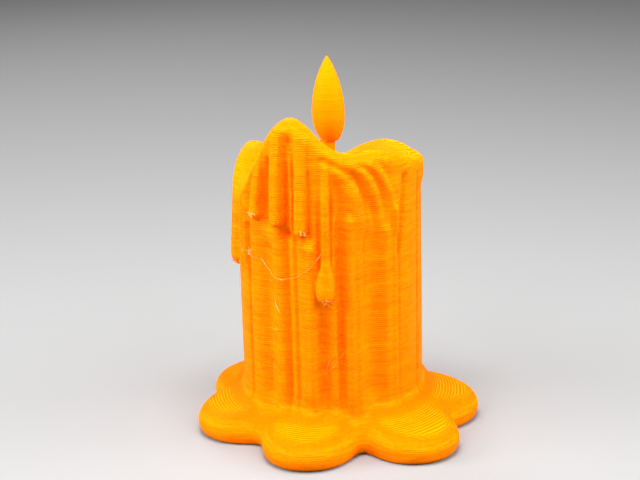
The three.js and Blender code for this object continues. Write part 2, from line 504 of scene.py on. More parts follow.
        # Painted shade: level tops are coloured a little darker.
        tone = sheet.math("MULTIPLY_ADD", traits.flat, -self.painted_top_shade, tone)
        # Painted light: the wick and flame are coloured brighter, a painted glow.
        lift = sheet.math("MULTIPLY_ADD", traits.thin, self.painted_glow, self.middle_tone)
        tone = sheet.math("ADD", tone, lift)
        return sheet.math("MINIMUM", sheet.math("MAXIMUM", tone, 0.0), 1.0)

    def _thinness(self, sheet: NodeSheet, place: bpy.types.Node) -> bpy.types.NodeSocket:
        """Tells the wick and flame (1), which get a painted glow, from the body (0).

        Args:
            sheet: The material's nodes.
            place: The node that splits a place into its three axes.

        Returns:
            The share of thinness.
        """
        across, along, up = (place.outputs[axis] for axis in "XYZ")
        square = sheet.math("MULTIPLY_ADD", across, across, sheet.math("MULTIPLY", along, along))
        radius = sheet.math("SQRT", square)
        inner, outer = (limit * MM for limit in self.slim_radii)
        lower, upper = (limit * MM for limit in self.slim_heights)
        slim = sheet.span(radius, inner, outer, 1.0, 0.0)
        return sheet.math("MULTIPLY", slim, sheet.span(up, lower, upper, 0.0, 1.0))

    def _steepness(self, sheet: NodeSheet) -> bpy.types.NodeSocket:
        """Tells walls (1) from level tops (0) by how far a face leans."""
        geometry = sheet.node("NewGeometry")
        split = sheet.node("SeparateXYZ")
        sheet.join(geometry.outputs["Normal"], split.inputs["Vector"])
        level = sheet.math("ABSOLUTE", split.outputs["Z"])
        return sheet.span(level, *self.steep_span)

    def _steps(self, sheet: NodeSheet, height: bpy.types.NodeSocket) -> bpy.types.NodeSocket:
        """Cuts level steps into a slope, one for each layer.

        Args:
            sheet: The material's nodes.
            height: The height above the bottom, in metres.

        Returns:
            The relief, from 0 at a step's back to 1 at its front edge.
        """
        share = sheet.math("FRACT", sheet.math("DIVIDE", height, self.step * MM))
        tread = sheet.math("DIVIDE", sheet.math("SUBTRACT", 1.0, share), 1.0 - self.step_front)
        front = sheet.math("DIVIDE", share, self.step_front)
        return sheet.math("MINIMUM", tread, front)

    def _beads(self, sheet: NodeSheet, height: bpy.types.NodeSocket) -> bpy.types.NodeSocket:
        """Lays round beads on top of each other, with sharp valleys between.

        Args:
            sheet: The material's nodes.
            height: The height above the bottom, in metres.

        Returns:
            The relief, from 0 in a valley to 1 on a bead.
        """
        angle = sheet.math("MULTIPLY", height, math.pi / (self.bead * MM))
        shifted = sheet.math("MULTIPLY_ADD", sheet.noise(self.wander), self.bead_wander, angle)
        wave = sheet.math("ABSOLUTE", sheet.math("SINE", shifted))
        return sheet.math("POWER", wave, self.bead_fullness)


@dataclass(frozen=True)
class StringFinish:
    """A stretched hair of filament, so thin that it looks pale."""

    name: str = "filament_string"
    pale: Colour = (1.0, 0.58, 0.2, 1.0)
    warm: Colour = (1.0, 0.26, 0.01, 1.0)
    roughness: float = 0.4
    patch_span: Span = (0.42, 0.62, 0.0, 1.0)
    patches: Pattern = Pattern((260.0, 260.0, 260.0), 2.0)

    def material(self) -> bpy.types.Material:
        """Wires the material.

        Returns:
            The finished material.
        """
        sheet = NodeSheet(self.name)
        share = sheet.span(sheet.noise(self.patches), *self.patch_span)
        sheet.paint(share, self.warm, self.pale)
        sheet.shader.inputs["Roughness"].default_value = self.roughness
        return sheet.material


# ---------------------------------------------------------------------------
# The puddle
# ---------------------------------------------------------------------------


@dataclass(frozen=True)
class Spill:
    """One round lobe of the puddle: its turn, and how far it reaches from the axis."""

    turn: float
    reach: float


@dataclass(frozen=True)
class Puddle:
    """The puddle at the candle's foot: round spills run together into one low mound."""

    core: float = 27.0
    blend: float = 3.0
    undercut: float = 2.2
    bulge_height: float = 3.4
    shoulder: float = 4.5
    roundness: float = 2.2
    saddle_top: float = 5.2
    lobe_rise: float = 2.2
    lobe_starts: float = 2.0
    lobe_full: float = 12.0
    swell: float = 3.0
    swell_spread: float = 11.0
    fillet_rise: float = 4.5
    fillet_reach: float = 5.0
    reach: float = 65.0
    halvings: int = 30
    spill_radius: float = 13.0
    spills: tuple[Spill, ...] = (
        Spill(-16, 42),
        Spill(43, 47),
        Spill(88, 44),
        Spill(137, 38),
        Spill(186, 38),
        Spill(236, 42),
        Spill(285, 42),
    )

    def depth_inside(self, turn: np.ndarray, radius: np.ndarray) -> np.ndarray:
        """Gives how deep a place lies inside the outline.

        Args:
            turn: Turns in degrees.
            radius: Distances from the axis.

        Returns:
            The depth in millimetres, negative outside.
        """
        total = np.exp((self.core - radius) / self.blend)
        for spill in self.spills:
            angle = np.radians(turn_apart(turn, spill.turn))
            ahead = radius * np.cos(angle) - (spill.reach - self.spill_radius)
            away = np.hypot(radius * np.sin(angle), ahead)
            total = total + np.exp((self.spill_radius - away) / self.blend)
        return self.blend * np.log(total)

    def edge(self, turn: np.ndarray) -> np.ndarray:
        """Gives the puddle's outline by halving the gap round it.

        Args:
            turn: Turns in degrees.

        Returns:
            The distance from the axis to the outermost point at each turn.
        """
        inside = np.full_like(turn, self.core)
        outside = np.full_like(turn, self.reach)
        for _ in range(self.halvings):
            middle = 0.5 * (inside + outside)
            within = self.depth_inside(turn, middle) > 0.0
            inside = np.where(within, middle, inside)
            outside = np.where(within, outside, middle)
        return inside

    def top(self, turn: np.ndarray, radius: np.ndarray, wall: float) -> np.ndarray:
        """Gives the height of the puddle's top.

        Args:
            turn: Turns in degrees.
            radius: Distances from the axis.
            wall: The wall's radius, against which the puddle heaps up.

        Returns:
            The heights in millimetres.
        """
        out = np.maximum(radius - wall, 0.0)
        risen = ease(self.edge(turn) - wall, self.lobe_starts, self.lobe_full)
        mound = self.saddle_top + self.lobe_rise * risen
        mound = mound + self.swell * np.exp(-((out / self.swell_spread) ** 2))
        near = np.clip(1.0 - out / self.fillet_reach, 0.0, 1.0)
        mound = mound + self.fillet_rise * (1.0 - np.sqrt(1.0 - near**2))
        inside = np.clip(self.depth_inside(turn, radius) / self.shoulder, 0.0, 1.0)
        rounded = np.sqrt(1.0 - (1.0 - inside) ** self.roundness)
        return self.bulge_height + (mound - self.bulge_height) * rounded


# ---------------------------------------------------------------------------
# The wall and its relief
# ---------------------------------------------------------------------------


class Section(Enum):
    """How a stroke of the relief is shaped across."""

    SOFT = "soft"
    MOUND = "mound"
    ROUND = "round"
    FULL = "full"


@dataclass(frozen=True)
class Stroke:
    """A ridge, groove or drip that follows a path over the wall.

    path holds (turn, height) points from top to bottom. width is half the breadth in
    millimetres and depth how far it stands out, or sinks in where it is negative; both are
    given at even steps from the top to the bottom.
    """

    path: tuple[tuple[float, float], ...]
    width: tuple[float, ...]
    depth: tuple[float, ...]
    section: Section = Section.SOFT

    def relief(self, turn: np.ndarray, height: np.ndarray, wall: float) -> np.ndarray:
        """Gives the stroke's relief over the wall.

        Args:
            turn: Turns of the places, in degrees.
            height: Heights of the places, in millimetres.
            wall: The wall's radius, which turns degrees into millimetres.

        Returns:
            How far the wall moves outwards at each place.
        """
        degree = math.radians(wall)
        lengths = [
            math.hypot((b[0] - a[0]) * degree, b[1] - a[1])
            for a, b in zip(self.path, self.path[1:])
        ]
        whole = sum(lengths)
        nearest = np.full(np.broadcast(turn, height).shape, np.inf)
        along = np.zeros_like(nearest)
        begun = 0.0
        for start, end, length in zip(self.path, self.path[1:], lengths):
            across = turn_apart(turn, start[0]) * degree
            up = height - start[1]
            run = ((end[0] - start[0]) * degree, end[1] - start[1])
            share = np.clip((across * run[0] + up * run[1]) / length**2, 0.0, 1.0)
            distance = np.hypot(across - share * run[0], up - share * run[1])
            closer = distance < nearest
            nearest = np.where(closer, distance, nearest)
            along = np.where(closer, (begun + share * length) / whole, along)
            begun += length
        width = np.interp(along, np.linspace(0.0, 1.0, len(self.width)), self.width)
        depth = np.interp(along, np.linspace(0.0, 1.0, len(self.depth)), self.depth)
        return depth * self._across(nearest / width)

    def turned(self, turn: float) -> "Stroke":
        """Gives the same stroke, moved round the wall by a turn."""
        return replace(self, path=tuple((place + turn, height) for place, height in self.path))

    def _across(self, share: np.ndarray) -> np.ndarray:
        """Gives the section's height across the stroke, from 1 on its line to 0 outside."""
        if self.section is Section.SOFT:
            return np.exp(-(share**2))
        inside = np.clip(1.0 - share**2, 0.0, 1.0)
        if self.section is Section.MOUND:
            return inside
        if self.section is Section.ROUND:
            return np.sqrt(inside)
        return np.sqrt(np.clip(1.0 - share**FULL_POWER, 0.0, 1.0))


def upright(turn: float, top: float, foot: float) -> tuple[tuple[float, float], ...]:
    """Gives the path of a straight stroke down the wall.

    Args:
        turn: Where it runs.
        top: The height of its upper end.
        foot: The height of its lower end.

    Returns:
        Its two ends.
    """
    return ((turn, top), (turn, foot))


def bent(
    start: tuple[float, float], corner: tuple[float, float], end: tuple[float, float]
) -> tuple[tuple[float, float], ...]:
    """Gives the path of a stroke that swings round one corner.

    Args:
        start: Its upper end, as (turn, height).
        corner: The place it bends towards.
        end: Its lower end.

    Returns:
        Points along the curve, from the upper end to the lower.
    """
    points = []
    for share in np.linspace(0.0, 1.0, BEND_STEPS + 1):
        first, middle, last = (1.0 - share) ** 2, 2.0 * share * (1.0 - share), share**2
        points.append(tuple(first * a + middle * b + last * c for a, b, c in zip(start, corner, end)))
    return tuple(points)


@dataclass(frozen=True)
class Rim:
    """The wavy crest, as (turn, height) points, and how it rounds over."""

    crest: tuple[tuple[float, float], ...] = (
        (-180, 75),
        (-160, 77.5),
        (-130, 82),
        (-110, 85),
        (-102, 84),
        (-84, 77.5),
        (-68, 78.5),
        (-53, 86.5),
        (-38, 96),
        (-27, 99),
        (-16, 97),
        (-5, 92.5),
        (6, 89.5),
        (18, 89),
        (30, 89),
        (42, 88),
        (57, 85.5),
        (72, 83),
        (95, 82),
        (140, 82),
        (158, 79),
        (168, 76.5),
    )
    rounding: float = 2.8
    round_steepness: float = 1.5
    saddle: Swelling = Swelling(-80.0, 14.0, 1.5)
    lip: Swelling = Swelling(88.0, 26.0, -1.7)

    def height(self, turn: np.ndarray) -> np.ndarray:
        """Gives the crest's height on a smooth closed curve through its points.

        Args:
            turn: Turns in degrees.

        Returns:
            The crest's height at each turn.
        """
        laps = (-FULL_TURN, 0.0, FULL_TURN)
        turns = np.array([point[0] + lap for lap in laps for point in self.crest])
        heights = np.array([point[1] for _ in laps for point in self.crest])
        slopes = np.gradient(heights, turns)
        at = turn_apart(turn, 0.0)
        left = np.searchsorted(turns, at, side="right") - 1
        span = turns[left + 1] - turns[left]
        share = (at - turns[left]) / span
        rise = heights[left + 1] - heights[left]
        first = slopes[left] * span
        second = slopes[left + 1] * span
        bend = 3.0 * rise - 2.0 * first - second
        twist = first + second - 2.0 * rise
        return heights[left] + share * (first + share * (bend + share * twist))

    def rounded(self, turn: np.ndarray) -> np.ndarray:
        """Gives how far the wall draws in where it rounds over into the crest."""
        return self.rounding + self.saddle.at(turn) + self.lip.at(turn)


@dataclass(frozen=True)
class Wall:
    """The upright wall with its flutes, folds and drips.

    Every fade is the pair of heights between which a share rises; crest_fade is measured from
    the crest. lip is the overhang under the rim at the right.
    """

    radius: float = 27.0
    crest_lost: float = 0.85
    crest_fade: tuple[float, float] = (-5.0, -0.5)
    foot_share: float = 0.2
    foot_fade: tuple[float, float] = (9.0, 19.0)
    drip_cover: float = 0.75
    lip: Swelling = Swelling(86.0, 14.0, 0.8)
    lip_fade: tuple[float, float] = (72.0, 78.0)
    back_start: float = 98.0
    back_spacing: float = 19.25
    back_count: int = 9
    back_ridge: Stroke = Stroke(upright(0, 76, 8), (2.6, 2.6), (0.5, 0.5))
    back_groove: Stroke = Stroke(upright(9.6, 74, 12), (1.1, 1.1), (-0.9, -0.8))
    flutes: tuple[Stroke, ...] = (
        Stroke(upright(-69, 84, 8), (3.0, 3.0), (0.4, 0.4)),
        Stroke(bent((-106, 88), (-99, 76), (-96, 66)), (4.0, 4.0), (0.4, 0.2, 0.0)),
        Stroke(upright(-61, 66, 8), (0.6, 0.6), (-1.2, -1.2)),
        Stroke(upright(-54.5, 66, 8), (2.6, 2.6), (0.5, 0.5)),
        Stroke(upright(-43, 60, 8), (2.6, 2.8), (-1.3, -1.9)),
        Stroke(upright(-34.5, 64, 8), (2.2, 2.4), (0.8, 0.8)),
        Stroke(upright(-27.5, 66, 8), (1.1, 1.0), (-1.1, -1.4)),
        Stroke(upright(-21, 66, 8), (0.9, 0.9), (-0.7, -0.9)),
        Stroke(upright(-15, 62, 8), (2.6, 2.6), (1.1, 1.0)),
        Stroke(upright(-11.5, 62, 8), (1.3, 1.3), (0.8, 0.9)),
        Stroke(upright(-6, 50, 8), (2.1, 2.2), (0.0, -1.5, -1.8, -1.8, -1.8)),
        Stroke(upright(1, 44, 8), (1.3, 1.3), (0.6, 0.6)),
        Stroke(upright(5.5, 80, 8), (1.5, 1.4, 1.3), (-1.0, -2.0, -1.9, -1.3)),
        Stroke(upright(11, 70, 8), (1.6, 1.5), (1.0, 1.1)),
        Stroke(upright(17, 60, 8), (0.9, 0.9), (0.6, 0.6)),
        Stroke(upright(25.5, 62, 8), (3.4, 3.6), (-1.6, -2.0)),
        Stroke(upright(20, 66, 40), (0.8, 0.8), (-0.3, 0.0)),
        Stroke(upright(35.5, 66, 8), (1.6, 1.6), (0.8, 0.7)),
        Stroke(upright(42, 72, 8), (1.0, 1.0), (0.8, 0.6)),
        Stroke(upright(45, 66, 8), (0.6, 0.5), (-0.6, -0.4)),
        Stroke(upright(55, 78, 8), (5.0, 5.0), (0.35, 0.35)),
        Stroke(((69.5, 79), (67, 8)), (0.5, 0.5), (-1.6, -1.5)),
    )
    folds: tuple[Stroke, ...] = (
        Stroke(bent((-4, 88), (27, 82), (28, 62)), (1.0, 1.2, 1.5, 1.7), (-0.5, -1.0, -1.2, 0.0)),
        Stroke(bent((14, 84), (22, 80), (22, 64)), (0.9, 0.8), (-0.5, -0.8, 0.0)),
        Stroke(bent((18, 86), (34, 83), (35, 66)), (1.1, 1.1), (-0.6, -0.9, 0.0)),
        Stroke(bent((31, 86), (40, 83), (41, 74)), (1.2, 1.2), (-0.6, 0.0)),
        Stroke(bent((-2, 91), (29, 84), (30, 74)), (1.6, 1.4), (0.6, 0.7, 0.4)),
        Stroke(bent((6, 90), (41, 86), (43, 66)), (1.7, 1.3), (0.5, 0.7, 0.7)),
        Stroke(bent((4, 85), (24, 80), (25, 66)), (1.4, 1.2), (0.6, 0.6, 0.2)),
        Stroke(bent((8, 80), (17, 77), (17, 64)), (1.8, 1.5), (0.6, 0.6, 0.2)),
        Stroke(bent((52, 80), (49, 70), (45, 58)), (1.1, 0.6), (-1.6, -0.8)),
        Stroke(bent((2, 82), (-1, 78), (-1, 58)), (1.0, 0.7, 0.6), (-0.3, -1.1, -0.5, -0.4)),
        Stroke(upright(-7, 80, 54), (0.6, 0.5), (0.0, -0.5, -0.8)),
        Stroke(upright(-10, 86, 64), (1.0, 1.0), (0.1, 0.5)),
        Stroke(upright(-13.5, 84, 66), (0.8, 0.8), (-0.4, -0.7)),
        Stroke(bent((-25, 94), (-29, 86), (-28, 66)), (1.1, 1.6, 1.6), (-0.6, -1.7, -1.5)),
        Stroke(bent((-24, 93), (-21, 88), (-21, 68)), (0.8, 0.8), (-0.6, -1.3)),
        Stroke(upright(-25, 88, 68), (0.8, 0.8), (0.3, 0.6)),
        Stroke(bent((-39, 87), (-42.5, 80), (-42.5, 69)), (0.9, 1.6, 1.9, 2.0), (-1.0, -1.9, -2.3, -2.0)),
        Stroke(((-58, 80), (-60, 50)), (0.7, 0.7), (-0.9, -0.5)),
        Stroke(bent((-51, 84), (-55, 78), (-56, 70)), (0.9, 1.0), (-0.5, -1.4, -0.6)),
        Stroke(bent((-66, 77), (-70, 65), (-71, 50)), (1.1, 1.0), (-1.5, -1.2)),
        Stroke(((-63, 79), (-64, 55)), (0.9, 0.9), (0.9, 0.7)),
    )
    drips: tuple[Stroke, ...] = (
        Stroke(bent((-46, 89), (-50, 79), (-51, 71)), (1.4, 1.9, 2.3), (0.3, 1.3, 2.0), Section.ROUND),
        Stroke(upright(-33, 97, 70), (1.9, 1.9, 1.8), (0.2, 2.0, 3.0), Section.FULL),
        Stroke(upright(-32, 97, 71), (1.8, 1.8, 1.8), (0.2, 1.6, 2.3), Section.MOUND),
        Stroke(((-17, 97), (-18, 68)), (1.8, 1.8, 1.9), (0.1, 1.5, 2.6), Section.FULL),
        Stroke(upright(-17, 97, 69), (1.8, 1.8, 1.8), (0.1, 1.2, 2.1), Section.MOUND),
        Stroke(((-3, 87), (-3.5, 56)), (1.1, 1.1, 1.1, 1.2), (0.2, 1.0, 1.6, 1.8, 1.8, 1.9), Section.ROUND),
        Stroke(
            ((-3.5, 59), (-4, 49)),
            (1.15, 1.5, 2.15, 2.6, 2.75, 2.5),
            (1.8, 2.0, 2.3, 2.6, 2.9, 3.0),
            Section.ROUND,
        ),
        Stroke(bent((-96, 83), (-87, 70), (-91, 54)), (4.8, 4.2), (0.6, 1.6, 2.6), Section.ROUND),
        Stroke(((118, 82), (119, 62)), (2.4, 2.3), (0.8, 1.4), Section.ROUND),
        Stroke(((152, 80), (151, 51)), (1.7, 1.6, 1.6, 1.6, 2.6), (0.5, 1.2, 1.3, 1.4, 1.9), Section.ROUND),
        Stroke(((-140, 79), (-141, 64)), (2.6, 2.4), (0.8, 1.4), Section.ROUND),
        Stroke(((-166, 75), (-165, 59)), (2.1, 2.0), (0.7, 1.3), Section.ROUND),
    )

    def back_flutes(self) -> list[Stroke]:
        """Gives the plainer flutes of the back: one ridge and one groove, repeated."""
        strokes = []
        for step in range(self.back_count):
            turn = self.back_start + self.back_spacing * step
            strokes += [self.back_ridge.turned(turn), self.back_groove.turned(turn)]
        return strokes

    def surface(self, turn: np.ndarray, height: np.ndarray, rim: Rim) -> np.ndarray:
        """Gives the wall's distance from the axis.

        Args:
            turn: Turns in degrees.
            height: Heights in millimetres, of the same shape.
            rim: The rim, under which the relief calms down.

        Returns:
            The radius at each place.
        """
        soft = np.zeros(np.broadcast(turn, height).shape)
        for stroke in [*self.flutes, *self.back_flutes(), *self.folds]:
            soft += stroke.relief(turn, height, self.radius)
        hung = np.zeros_like(soft)
        for drip in self.drips:
            hung = np.maximum(hung, drip.relief(turn, height, self.radius))
        calm = 1.0 - self.crest_lost * ease(height - rim.height(turn), *self.crest_fade)
        low = self.foot_share + (1.0 - self.foot_share) * ease(height, *self.foot_fade)
        covered = 1.0 - self.drip_cover * np.clip(hung, 0.0, 1.0)
        lip = self.lip.at(turn) * ease(height, *self.lip_fade)
        return self.radius + soft * calm * low * covered + hung * calm + lip


# ---------------------------------------------------------------------------
# The body
# ---------------------------------------------------------------------------


@dataclass
class CandleBody:
    """Puddle, wall, rim and well as one closed skin."""

    puddle: Puddle = field(default_factory=Puddle)
    wall: Wall = field(default_factory=Wall)
    rim: Rim = field(default_factory=Rim)
    well_floor: float = 73.6
    floor_radius: float = 13.5
    well_fullness: float = 1.6
    relief_fade: float = 8.0
    columns: int = 440
    front_bias: float = 0.35
    edge_rows: int = 6
    top_rows: int = 36
    wall_rows: int = 144
    rim_rows: int = 12
    well_rows: int = 18
    piece: bpy.types.Object | None = None

    def turns(self) -> np.ndarray:
        """Gives the columns' turns, which lie closer together at the front."""
        even = np.linspace(-HALF_TURN, HALF_TURN, self.columns, endpoint=False)
        return even - math.degrees(self.front_bias) * np.sin(np.radians(even))

    def sections(self, turn: np.ndarray) -> np.ndarray:
        """Gives the skin's sections from the bottom's edge to the well's floor.

        Args:
            turn: The columns' turns.

        Returns:
            Rows x columns x 2: distance from the axis, and height.
        """
        rows: list[tuple[np.ndarray, np.ndarray]] = []
        rows += self._edge_rows(turn)
        foot, top_rows = self._top_rows(turn)
        rows += top_rows
        rows += self._wall_rows(turn, foot)
        rows += self._rim_and_well_rows(turn)
        shape = turn.shape
        return np.array(
            [[np.broadcast_to(radius, shape), np.broadcast_to(z, shape)] for radius, z in rows]
        ).transpose(0, 2, 1)

    def _edge_rows(self, turn: np.ndarray) -> list[tuple[np.ndarray, np.ndarray]]:
        """Gives the undercut lower half of the puddle's rounded side."""
        edge = self.puddle.edge(turn)
        rows = []
        for quarter in np.linspace(0.0, 0.5 * math.pi, self.edge_rows + 1)[:-1]:
            inset = self.puddle.undercut * (1.0 - math.sin(quarter))
            height = self.puddle.bulge_height * (1.0 - math.cos(quarter))
            rows.append((edge - inset, np.full_like(turn, height)))
        return rows

    def _top_rows(self, turn: np.ndarray) -> tuple[np.ndarray, list[tuple[np.ndarray, np.ndarray]]]:
        """Gives the puddle's shoulder, its mound and the fillet up to the wall."""
        edge = self.puddle.edge(turn)
        wall = self.wall.radius
        foot = self.puddle.top(turn, np.full_like(turn, wall), wall)
        relief = self.wall.surface(turn, foot, self.rim) - wall
        rows = []
        for step in np.linspace(0.0, 1.0, self.top_rows):
            share = 0.5 + 0.5 * math.cos(math.pi * step)
            out = (edge - wall) * share
            radius = wall + out + relief * np.exp(-out / self.relief_fade) * (1.0 - share)
            rows.append((radius, self.puddle.top(turn, wall + out, wall)))
        return foot, rows

    def _wall_rows(self, turn: np.ndarray, foot: np.ndarray) -> list[tuple[np.ndarray, np.ndarray]]:
        """Gives the wall from its foot to where the rim starts to round over."""
        top = self.rim.height(turn) - self.rim.round_steepness * self.rim.rounded(turn)
        shares = np.linspace(0.0, 1.0, self.wall_rows + 1)[1:, None]
        heights = foot + (top - foot) * shares
        radii = self.wall.surface(np.broadcast_to(turn, heights.shape), heights, self.rim)
        return list(zip(radii, heights))

    def _rim_and_well_rows(self, turn: np.ndarray) -> list[tuple[np.ndarray, np.ndarray]]:
        """Gives the rounded rim and the well's side down to its floor."""
        crest = self.rim.height(turn)
        rounding = self.rim.rounded(turn)
        rows = []
        for quarter in np.linspace(0.0, 0.5 * math.pi, self.rim_rows + 1)[1:]:
            height = crest - self.rim.round_steepness * rounding * (1.0 - math.sin(quarter))
            outer = self.wall.surface(turn, height, self.rim)
            rows.append((outer - rounding * (1.0 - math.cos(quarter)), height))
        inner = rows[-1][0]
        for share in np.linspace(0.0, 1.0, self.well_rows + 1)[1:]:
            drop = 0.5 + 0.5 * math.cos(math.pi * share**self.well_fullness)
            height = self.well_floor + (crest - self.well_floor) * drop
            rows.append((inner + (self.floor_radius - inner) * share, height))
        return rows

    def build(self) -> bpy.types.Object:
        """Builds the body's mesh and places it.

        Returns:
            The body's object.
        """
        turn = self.turns()
        sections = self.sections(turn)
        angle = np.radians(turn)
        radius = sections[..., 0]
        skin = np.stack([radius * np.sin(angle), -radius * np.cos(angle), sections[..., 1]], axis=-1)
        bottom = np.zeros((1, len(turn), 3))
        floor = np.zeros((1, len(turn), 3))
        floor[..., 2] = self.well_floor
        rings = np.concatenate([bottom, skin, floor]) * MM
        self.piece = place("candle_body", ring_mesh("candle_body", rings))
        return self.piece

    def dress(self, material: bpy.types.Material) -> None:
        """Gives the body its finish."""
        self.piece.data.materials.append(material)


# ---------------------------------------------------------------------------
# The wick and the flame
# ---------------------------------------------------------------------------


@dataclass
class WickAndFlame:
    """The wick, sunk into the well's floor, and the flame printed on its end."""

    wick_radius: float = 2.2
    sunk: float = 70.0
    flame_base: float = 87.2
    widest: float = 94.8
    tip: float = 112.0
    radius: float = 4.75
    lower_span: float = 8.9
    taper: float = 0.9
    shift_low: float = 0.8
    shift: float = 0.3
    shift_fade: float = 4.0
    columns: int = 72
    rows: int = 60
    wick_rows: int = 24
    piece: bpy.types.Object | None = None

    def flame_radius(self, height: np.ndarray) -> np.ndarray:
        """Gives the flame's radius: a half oval below, a soft cone above.

        Args:
            height: Heights from the flame's base to its tip.

        Returns:
            The radius at each height.
        """
        lower = np.sqrt(np.clip(1.0 - ((self.widest - height) / self.lower_span) ** 2, 0.0, 1.0))
        share = np.clip((height - self.widest) / (self.tip - self.widest), 0.0, 1.0)
        upper = (1.0 - share**2) ** self.taper
        return self.radius * np.where(height < self.widest, lower, upper)

    def build(self) -> bpy.types.Object:
        """Builds the wick and flame as one turned skin and places it.

        Returns:
            The object.
        """
        heights = np.linspace(self.flame_base, self.tip, self.rows)[:-1]
        radii = self.flame_radius(heights)
        fading = np.exp(-(heights - self.flame_base) / self.shift_fade)
        drift = self.shift + (self.shift_low - self.shift) * fading
        profile = [(0.0, self.sunk, 0.0), (self.wick_radius, self.sunk, 0.0)]
        wick_heights = np.linspace(self.sunk, self.flame_base, self.wick_rows)[1:]
        profile += [(self.wick_radius, z, 0.0) for z in wick_heights]
        profile += list(zip(radii, heights, drift))
        profile.append((0.0, self.tip, self.shift))
        angle = np.radians(np.linspace(0.0, FULL_TURN, self.columns, endpoint=False))
        rings = np.array(
            [
                np.stack([shift + r * np.sin(angle), -r * np.cos(angle), np.full_like(angle, z)], axis=-1)
                for r, z, shift in profile
            ]
        )
        self.piece = place("wick_and_flame", ring_mesh("wick_and_flame", rings * MM))
        return self.piece

    def dress(self, material: bpy.types.Material) -> None:
        """Gives the wick and flame their finish."""
        self.piece.data.materials.append(material)


# ---------------------------------------------------------------------------
# The hairs
# ---------------------------------------------------------------------------


@dataclass(frozen=True)
class Hair:
    """A hair the nozzle dragged over the candle, fast to it at both ends.

    start and end are (turn, height) places. sag is how far the middle hangs below the
    straight line, or rises above it where it is negative.
    """

    start: tuple[float, float]
    end: tuple[float, float]
    sag: float = 0.0


@dataclass(frozen=True)
class Tuft:
    """A ragged end: short hairs that hang from round one place."""

    turn: float
    height: float
    spread: float = 2.6
    hang: float = 0.7
    count: int = 9


